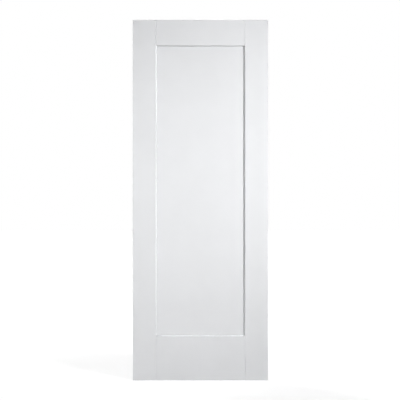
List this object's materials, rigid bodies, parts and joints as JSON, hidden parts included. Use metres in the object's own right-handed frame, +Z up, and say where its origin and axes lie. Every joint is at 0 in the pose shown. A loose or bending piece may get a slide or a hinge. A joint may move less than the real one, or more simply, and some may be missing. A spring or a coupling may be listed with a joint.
{
  "type": "fire door leaf",
  "caption": "White primed fire door leaf: a tall recessed flat panel between stiles and rails, with slim beads round it and fine V-groove joint lines, to be hung on hinges.",
  "frame": {"origin": "bottom of the hinge edge, at mid-thickness of the leaf", "axes": "+X across the leaf from the hinge edge to the lock edge, +Y from the front face to the back face, +Z up"},
  "size_m": [0.762, 0.044, 2.032],
  "materials": {
    "primed_facing": "white primer, low sheen, on fibreboard facings",
    "primed_bead": "white primer, low sheen, on moulded beads",
    "primed_panel": "white primer, low sheen, on a fibreboard panel",
    "primed_lipping": "white primer, low sheen, on solid timber lippings",
    "raw_core": "bare sawn softwood staves"
  },
  "bodies": {
    "root": {"hinge_stile_core": "raw_core", "lock_stile_core": "raw_core", "top_rail_core": "raw_core", "bottom_rail_core": "raw_core", "hinge_edge_lipping": "primed_lipping", "lock_edge_lipping": "primed_lipping", "panel": "primed_panel", "front_hinge_stile_facing": "primed_facing", "front_lock_stile_facing": "primed_facing", "front_top_rail_facing": "primed_facing", "front_bottom_rail_facing": "primed_facing", "back_hinge_stile_facing": "primed_facing", "back_lock_stile_facing": "primed_facing", "back_top_rail_facing": "primed_facing", "back_bottom_rail_facing": "primed_facing", "front_hinge_bead": "primed_bead", "front_top_bead": "primed_bead", "front_lock_bead": "primed_bead", "front_bottom_bead": "primed_bead", "back_hinge_bead": "primed_bead", "back_top_bead": "primed_bead", "back_lock_bead": "primed_bead", "back_bottom_bead": "primed_bead"}
  },
  "joints": []
}
